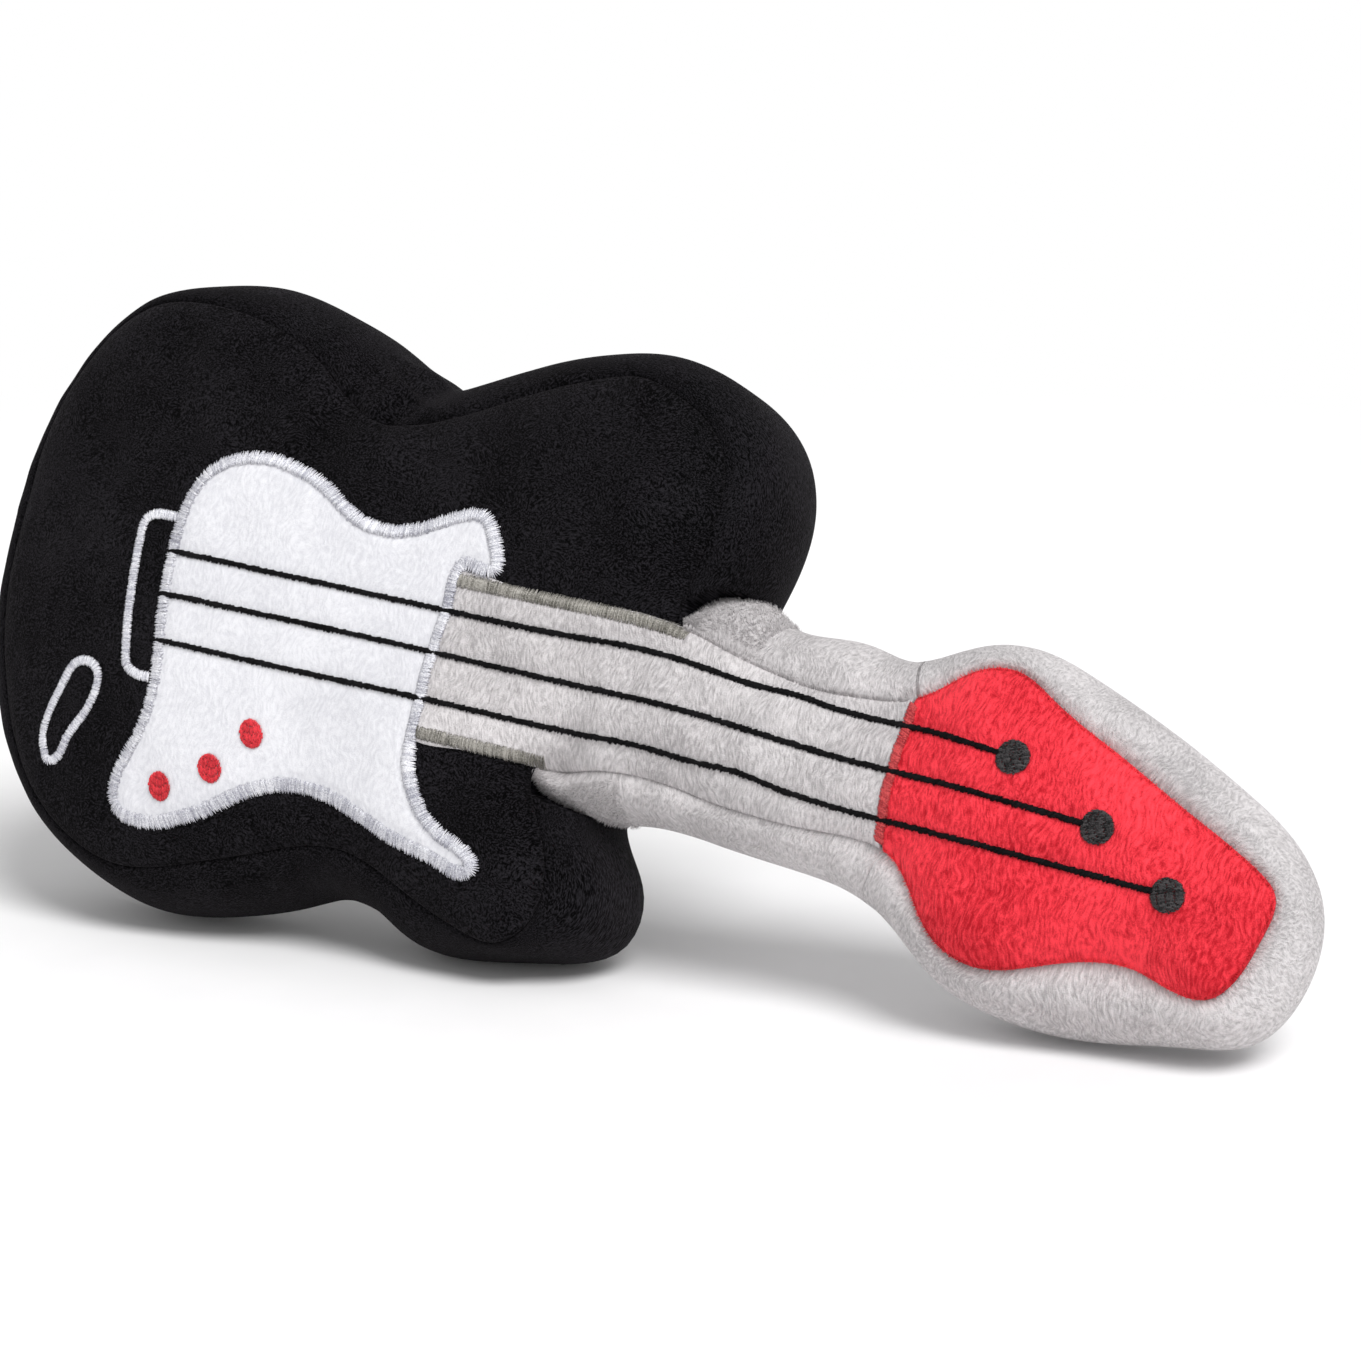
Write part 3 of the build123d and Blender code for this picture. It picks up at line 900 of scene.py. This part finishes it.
GREY_THREAD = thread("warm_grey_thread", "satin_warm_grey", (0.07, 0.066, 0.052), (0.44, 0.42, 0.385), 0.4,
                     metallic=0.3, patchy=0.4)
RED_THREAD = thread("red_thread", "satin_red", (0.36, 0.010, 0.018), (0.80, 0.045, 0.062), 0.5,
                    sheen=0.08, specular=0.2)
NUT_THREAD = thread("dusty_red_thread", "satin_red", (0.28, 0.014, 0.020), (0.66, 0.088, 0.090), 0.5,
                    sheen=0.1, patchy=0.05, specular=0.2)
STRING_THREAD = thread("black_thread", "thread_black", (0.0008, 0.0008, 0.001), (0.010, 0.0095, 0.0105), 0.75,
                       specular=0.06)
DOT_THREAD = thread("tuner_thread", "thread_black", (0.0012, 0.0012, 0.0015), (0.058, 0.053, 0.055), 0.5,
                    patchy=0.0, specular=0.25)

# ---------------------------------------------------------------- the stuffed panels


def gusset(name, strip, cloth, stuff, replaced, settle, closed=True):
    """A sewn strip, from its rows of points."""
    piece = add_mesh(name, strip.reshape(-1, 3), strip_faces(*strip.shape[:2], closed), stuff,
                     cloth.reshape(-1, 2), settle=settle)
    thicken(piece)
    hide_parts(replaced)
    return piece


def build_body():
    front = panel("body_front", body_seam, body_height, BLACK_MINKY, "body_front_panel")
    back = panel("body_back", body_seam, back_body_height, BLACK_MINKY, "body_back_panel", True, body_shift)
    strip, cloth = gusset_points(body_seam, body_mid, body_height, BODY_MID_N, BODY_HALF, 60, 5, 1.0)
    side = gusset("body_side", tucked_under_neck(strip), cloth, BLACK_MINKY, "body_gusset", body_shift)
    return front, back, side


def neck_strip(sewn):
    """The neck's and head's gusset; sewn is how deep its seams are drawn in."""
    strip, cloth = gusset_points(neck_seam, neck_mid, fretboard_height, NECK_MID_N, NECK_HALF, 54, 9, 0.35,
                                 sewn)
    return tucked_into_body(strip), cloth


def build_neck():
    head_seam = cut_outline(neck_seam, NUT_U, END_U)
    pieces = [
        panel("neck_front", cut_outline(neck_seam, FRETBOARD_U, NUT_U), fretboard_height, GREY_MINKY,
              "neck_front_panel"),
        panel("head_front", head_seam, fretboard_height, RED_MINKY, "head_front_panel"),
        panel("neck_back", cut_outline(neck_seam, BACK_ROOT_U, NUT_U), back_neck_height, GREY_MINKY,
              "neck_back_panel", True, neck_shift),
        panel("head_back", head_seam, back_neck_height, GREY_MINKY, "head_back_panel", True, neck_shift),
    ]
    u, v = neck_seam[:, 0], neck_seam[:, 1]
    sewn = np.where((v > 0) & (u < BLEND_U), 0.1, 1.0)
    strip, cloth = neck_strip(sewn)
    stretches = {
        "neck_side_upper": ((u > 166) & (u <= NUT_U + 1.5) & (v > -5), "neck_gusset_upper"),
        "neck_side_lower": ((u > 128) & (u <= NUT_U + 1.5) & (v < -5), "neck_gusset_lower"),
        "head_side": (u > NUT_U, "head_gusset"),
    }
    for name, (chosen, replaced) in stretches.items():
        picked = np.flatnonzero(chosen)
        jump = np.flatnonzero(np.diff(picked) > 1)
        if len(jump):
            picked = np.roll(picked, -(jump[0] + 1))
        pieces.append(gusset(name, strip[picked], cloth[picked], GREY_MINKY, replaced, neck_shift, False))
    return pieces


body_shift, neck_shift, front_shift = settle_shapes()
body_pieces = build_body()
neck_pieces = build_neck()
panel("pickguard_cloth", pickguard_edge, pickguard_height, WHITE_MINKY, "pickguard",
      thickness=PICKGUARD_THICK)

# ---------------------------------------------------------------- embroidery


def thread_mesh(name, lines, half_width, half_height, stuff, replaced, seed, settle=None):
    """Many threads as slim tubes. lines holds each thread's stations in space."""
    rng = np.random.default_rng(seed)
    count, stations = lines.shape[:2]
    way = unit(np.gradient(lines, axis=1))
    side = unit(np.cross(way, [0.0, 0.0, 1.0]))
    rise = np.cross(side, way)
    taper = np.ones((stations, 1))
    taper[[0, -1]] = 0.55
    first = np.arange(SIDES)
    angle = 2 * math.pi * first / SIDES
    width = half_width * rng.uniform(0.85, 1.15, count)[:, None, None] * taper * np.cos(angle)
    height = half_height * taper * np.sin(angle)
    ring = lines[:, :, None] + side[:, :, None] * width[..., None] + rise[:, :, None] * height[..., None]
    points = ring.reshape(-1, 3)
    base = (np.arange(count) * stations * SIDES)[:, None, None]
    start, a = np.meshgrid(SIDES * np.arange(stations - 1), first, indexing="ij")
    b = (a + 1) % SIDES
    quad = np.stack([start + a, start + SIDES + a, start + SIDES + b, start + b], axis=2)
    quads = (base + quad.reshape(1, -1, 4)).reshape(-1, 4).tolist()
    last = (stations - 1) * SIDES + first[::-1]
    caps = [list(end + low) for end in (first, last) for low in base.ravel()]
    shade = np.repeat(rng.uniform(0, 1, count), stations * SIDES)
    piece = add_mesh(name, points, quads + caps, stuff, points, shade, settle)
    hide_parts(replaced)
    return piece


def cross_threads(middle, way, half_width, seed, rise=0.45, lift=0.12, slant=0.0, stations=6, ragged=0.12):
    """Satin stitches across a line: each one arches over the cloth from edge to edge."""
    rng = np.random.default_rng(seed)
    count = len(middle)
    turn = slant + rng.normal(0, 0.07, count)
    reach = square_to(way) * np.cos(turn)[:, None] + way * np.sin(turn)[:, None]
    t = np.linspace(-1, 1, stations)
    left, right = half_width * (1 + rng.uniform(-ragged, ragged, (2, count, 1)))
    span = np.where(t < 0, left, right) * t
    flat = middle[:, None, :] + reach[:, None, :] * span[:, :, None]
    base = front_height(flat)
    across = np.linspace(0, 1, stations)
    smoothed = np.maximum(base, across * base[:, -1:] + across[::-1] * base[:, :1])
    arch = rise * np.sqrt(np.maximum(1 - t ** 2, 0)) + lift + rng.normal(0, 0.03, count)[:, None]
    return np.concatenate([flat, (smoothed + arch)[:, :, None]], axis=2)


def satin(name, line, width, pitch, stuff, replaced, seed, closed=False, **options):
    """A band of satin stitches along a line."""
    run = around(line, pitch) if closed else resample(line, pitch, False)
    lines = cross_threads(run, tangents(run, closed), width / 2, seed, **options)
    return thread_mesh(name, lines, pitch * 0.62, 0.22, stuff, replaced, seed)


def filled_shape(name, centre, half, turn, way, stuff, replaced, seed, dome, pitch=0.42):
    """A fill-stitched oval: rows of short threads in one direction, slightly domed."""
    rng = np.random.default_rng(seed)
    lines = []
    stations = 5
    across = np.array([-way[1], way[0]])
    reach = max(half)
    cos, sin = math.cos(turn), math.sin(turn)
    for offset in np.arange(-reach, reach, pitch):
        ts = np.linspace(-reach, reach, 81)
        spots = across * offset + np.array(way) * ts[:, None]
        local = np.stack([spots @ [cos, sin], spots @ [-sin, cos]], axis=1)
        inside = ts[(local[:, 0] / half[0]) ** 2 + (local[:, 1] / half[1]) ** 2 <= 1]
        if len(inside) < 3:
            continue
        low, high = inside[0] - rng.uniform(0, 0.25), inside[-1] + rng.uniform(0, 0.25)
        cuts = np.arange(low + rng.uniform(1.2, 2.6), high - 0.8, 2.6)
        ends = np.concatenate([[low], cuts, [high]])
        for a, b in zip(ends[:-1], ends[1:]):
            t = np.linspace(a, b, stations)
            flat = np.array(centre) + across * offset + np.array(way) * t[:, None]
            round_off = np.sqrt(np.maximum(1 - (np.hypot(t, offset) / (reach + 0.4)) ** 2, 0))
            arch = 0.16 * np.sin(np.linspace(0, math.pi, stations))
            lift = 0.15 + dome * round_off + arch + rng.normal(0, 0.04)
            lines.append(np.concatenate([flat, (front_height(flat) + lift)[:, None]], axis=1))
    return thread_mesh(name, np.array(lines), pitch * 0.6, 0.2, stuff, replaced, seed)


def build_borders():
    u, v = pickguard_edge[:, 0], pickguard_edge[:, 1]
    inside = np.flatnonzero((u > 96) & (u < 101.6) & (np.abs(v) < 29.5))
    start, end = inside[0], inside[-1]
    border = np.roll(pickguard_edge, -end, axis=0)[:len(pickguard_edge) - (end - start) + 1]
    pocket = pickguard_edge[start:end + 1]
    bridge = curve(BRIDGE, 0.4, False)
    upper = curve([(102.5, 24.6), (140, 24.7), (170, 24.4), (178, 23.8)], 0.4, False)
    lower = curve([(101.5, -24.3), (120, -24.4), (141, -24.4)], 0.4, False)
    nut = curve([(NUT_U + 0.6, 17.5), (NUT_U + 0.2, -3), (NUT_U, -24.5)], 0.4, False)
    satin("pickguard_border", border, 4.4, 0.36, SILVER_THREAD, "pickguard_border_stitch", 21, ragged=0.2)
    satin("pocket_border", pocket, 3.8, 0.40, SILVER_THREAD, "pocket_stitch", 22)
    satin("bridge_outline", bridge, 3.3, 0.40, SILVER_THREAD, "bridge_outline_stitch", 23)
    satin("jack_outline", curve(JACK, 0.4), 3.2, 0.40, SILVER_THREAD, "jack_outline_stitch", 24, closed=True)
    satin("fretboard_edge_upper", upper, 4.3, 0.36, GREY_THREAD, "fretboard_edge_stitch_upper", 25)
    satin("fretboard_edge_lower", lower, 4.0, 0.36, GREY_THREAD, "fretboard_edge_stitch_lower", 26)
    satin("nut_line", nut, 3.4, 0.40, NUT_THREAD, "nut_stitch", 27, rise=0.3, slant=0.35)


def build_strings_and_dots():
    dot_half = (DOT_RADIUS, DOT_RADIUS)
    for number, (path, tuner, knob) in enumerate(zip(string_paths, tuner_spots, KNOBS), 1):
        run = resample(path, 0.62, False)
        lines = cross_threads(run, tangents(run, False), 1.22, 30 + number, rise=0.85, lift=-0.05,
                              slant=0.85, stations=5, ragged=0.3)
        thread_mesh(f"string_thread_{number}", lines, 0.42, 0.26, STRING_THREAD, f"string_{number}",
                    30 + number)
        filled_shape(f"tuner_fill_{number}", tuner, dot_half, 0, (0.94, 0.34), DOT_THREAD,
                     f"tuner_dot_{number}", 40 + number, 0.75)
        filled_shape(f"knob_fill_{number}", knob, KNOB_HALF, KNOB_TURN, (-0.22, 0.975), RED_THREAD,
                     f"knob_dot_{number}", 50 + number, 0.45)


def fibres(name, roots, ways, length, stuff, seed, settle=None, radius=0.1):
    """Single fibres of the pile: thin bent cones that stand on the cloth."""
    rng = np.random.default_rng(seed)
    count = len(roots)
    ways = unit(ways + rng.normal(0, 0.28, (count, 3)))
    reach = length * rng.uniform(0.6, 1.15, count)[:, None]
    side = unit(np.cross(ways, rng.normal(size=(count, 3))))
    third = np.cross(ways, side)
    bend = side * reach * rng.uniform(0.05, 0.3, count)[:, None]
    rings = []
    for along, width, bent in ((-0.15, 1.0, 0.0), (0.5, 0.75, 0.3)):
        middle = roots + ways * reach * along + bend * bent
        for turn in range(3):
            angle = 2 * math.pi * turn / 3
            rings.append(middle + (side * math.cos(angle) + third * math.sin(angle)) * radius * width)
    points = np.stack([*rings, roots + ways * reach + bend], axis=1)
    pattern = [(2, 1, 0)]
    for turn in range(3):
        after = (turn + 1) % 3
        pattern += [(turn, after, after + 3), (turn, after + 3, turn + 3), (turn + 3, after + 3, 6)]
    faces = (np.array(pattern)[None] + 7 * np.arange(count)[:, None, None]).reshape(-1, 3)
    cloth = np.repeat(roots, 7, axis=0)
    return add_mesh(name, points.reshape(-1, 3), faces, stuff, cloth, settle=settle)


def seam_fibres(name, chosen, inset, spacing, length, lean, stuff, seed, radius=0.1):
    """Fibres that cover a stretch of the neck's seam; lean is how far they lie over, outwards."""
    line = around(neck_seam, spacing)
    rng = np.random.default_rng(seed)
    pick = chosen(line)
    outward = square_to(tangents(line))[pick]
    spots = line[pick] - outward * (inset + rng.uniform(-0.5, 0.5, pick.sum()))[:, None]
    ways = np.column_stack([lean * outward, np.ones(len(spots))])
    return fibres(name, raised(spots, 0.1), ways, length, stuff, seed, radius=radius)


def root_fibres(name, low, high, upper, count, seed):
    """The neck's pile where its side comes out of the body."""
    strip = neck_strip(1.0)[0]
    rng = np.random.default_rng(seed)
    u, v = neck_seam[:, 0], neck_seam[:, 1]
    columns = np.flatnonzero((u > low) & (u < high) & ((v > 0) == upper))
    i, k = rng.choice(columns[:-1], count), rng.integers(2, 30, count)
    along = strip[(i + 1) % len(strip), k] - strip[i, k]
    down = strip[i, k + 1] - strip[i, k]
    roots = strip[i, k] + along * rng.uniform(0, 1, count)[:, None] + down * rng.uniform(0, 1, count)[:, None]
    out = np.cross(along, down)
    out /= np.linalg.norm(out, axis=1)[:, None] + 1e-9
    away = 1 if upper else -1
    ways = out * np.sign(away * out[:, 1:2]) + [-0.5, 0.25 * away, 0]
    return fibres(name, roots, ways, PILE, GREY_MINKY, seed, settle=neck_shift)


def build_fringes():
    seam_fibres("red_edge_fringe", lambda line: line[:, 0] > NUT_U + 1, 0.5, 0.16, PILE, 1.1, RED_MINKY, 81)
    seam_fibres("neck_seam_fringe", lambda line: (line[:, 0] > 176) & (line[:, 0] < 251) & (line[:, 1] > 0),
                0.0, 0.022, 2.2, 1.9, GREY_MINKY, 82, radius=0.13)
    root_fibres("neck_root_fringe_upper", UPPER_ROOT_U + 2.5, 200, True, 2600, 83)
    root_fibres("neck_root_fringe_lower", LOWER_ROOT_U + 2, 168, False, 2600, 84)


def build_closing():
    """Ladder stitches across the closed slit in the back."""
    t = np.linspace(-1, 1, 5)
    spots = np.arange(-20, 30, 4.5)
    flat = np.array([np.column_stack([u + 0.35 * t, CLOSING_V + 1.7 * t]) for u in spots])
    height = back_body_height(flat) - 0.25 - 0.25 * (1 - t ** 2)
    lines = np.concatenate([flat, height[..., None]], axis=2)
    thread_mesh("closing_threads", lines, 0.3, 0.3, STRING_THREAD, "closing_stitches", 61, settle=body_shift)


build_borders()
build_strings_and_dots()
build_closing()
build_fringes()

# ---------------------------------------------------------------- the filling


def build_filling():
    """The fibre fill: lumpy closed shapes a little inside the cloth."""
    tube_seam = cut_outline(neck_seam, FILL_ROOT_U, END_U)
    for name, outline, height, back, middle_n, crossing, replaced, settle in (
        ("body_fill", body_seam, body_height, back_body_height, BODY_MID_N, 9, "body_stuffing", body_shift),
        ("neck_fill", tube_seam, neck_height, back_neck_height, NECK_MID_N, 0, "neck_and_head_stuffing",
         neck_shift),
    ):
        edge = around(outline, FILL_SPACING)
        points, faces = fill_outline(edge, FILL_SPACING)
        depth = nearest(points, edge)[0]
        gap = 3.2 + 3.0 * np.exp(-depth / 6)
        lumps = 0.5 * waves(points, 14, 71)
        crossed = crossing * smooth(in_neck_mid(points), -6, 0)
        top = np.maximum(height(points) - gap - crossed + lumps, middle_n + 1)
        low = np.minimum(back(points) + gap + lumps, middle_n - 1)
        rim = depth < 1e-3
        top[rim] = middle_n
        count = len(points)
        both = np.vstack([np.column_stack([points, top]), np.column_stack([points, low])])
        index = np.arange(2 * count)
        index[count:][rim] = np.flatnonzero(rim)
        lower = index[faces + count][:, ::-1]
        piece = add_mesh(name, both, np.vstack([faces, lower]), FILL_FIBRE, both, settle=settle)
        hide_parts(replaced)


build_filling()

# ---------------------------------------------------------------- floor, light and camera


def build_stage():
    """A pale floor that takes the shadows and fades into the white surroundings."""
    radius, corners = 4.0, 96
    angles = np.linspace(0, 2 * math.pi, corners + 1)[:-1]
    mesh = bpy.data.meshes.new("floor")
    ring = [(radius * math.cos(a), radius * math.sin(a), 0) for a in angles]
    mesh.from_pydata(ring, [], [list(range(corners))])
    material, tree, shader = new_material("studio_floor")
    place = node(tree, "TexCoord", {}).outputs["Object"]
    paper = ramp(tree, noise(tree, place, 30, 2), 0.3, 0.7, (0.90, 0.895, 0.90), (0.92, 0.915, 0.92))
    set_inputs(tree, shader, {"Base Color": paper, "Roughness": 0.7})
    far = node(tree, "VectorMath", {0: place}, operation="LENGTH").outputs["Value"]
    fade = node(tree, "MapRange", {0: far, 1: 0.55, 2: 1.3}, interpolation_type="SMOOTHSTEP").outputs[0]
    glow = node(tree, "Emission", {"Color": (1, 1, 1, 1), "Strength": 1.0})
    mix = node(tree, "MixShader", {0: fade, 1: shader.outputs[0], 2: glow.outputs[0]})
    output = next(n for n in tree.nodes if n.bl_idname == "ShaderNodeOutputMaterial")
    tree.links.new(mix.outputs[0], output.inputs[0])
    mesh.materials.append(material)
    add_object("floor", mesh)


def pointing(azimuth, elevation):
    """The direction from the toy to a lamp or camera, turned to the head's side and raised by degrees."""
    azimuth, elevation = math.radians(azimuth), math.radians(elevation)
    flat = math.cos(elevation)
    return Vector((math.sin(azimuth) * flat, -math.cos(azimuth) * flat, math.sin(elevation)))


def build_light():
    """A pale room that is brightest round the horizon, and one broad lamp above the front."""
    world = bpy.data.worlds.new("studio")
    world.use_nodes = True
    tree = world.node_tree
    way = node(tree, "TexCoord", {}).outputs["Generated"]
    height = node(tree, "SeparateXYZ", {0: way}).outputs["Z"]
    levels = {0: height, 1: 0.17, 2: 0.42, 3: 1.0, 4: 0.56}
    dome = node(tree, "MapRange", levels, interpolation_type="SMOOTHSTEP").outputs[0]
    set_inputs(tree, tree.nodes["Background"], {0: (1, 1, 1, 1), 1: dome})
    bpy.context.scene.world = world
    data = configure(bpy.data.lights.new("lamp", "SUN"), energy=2.4, angle=math.radians(32))
    lamp = add_object("lamp", data)
    lamp.rotation_euler = pointing(56, 56).to_track_quat("Z", "Y").to_euler()
    bpy.context.scene.view_settings.view_transform = "Standard"


def build_camera():
    """The camera stands at the head's side of the front and looks slightly down."""
    back = pointing(CAMERA_TURN, CAMERA_RISE)
    data = configure(bpy.data.cameras.new("camera"), sensor_width=36, lens=CAMERA_LENS)
    camera = add_object("camera", data)
    camera.location = Vector(to_world(CAMERA_AIM)) + back * CAMERA_FAR
    camera.rotation_euler = back.to_track_quat("Z", "Y").to_euler()
    bpy.context.scene.camera = camera


build_stage()
build_light()
build_camera()
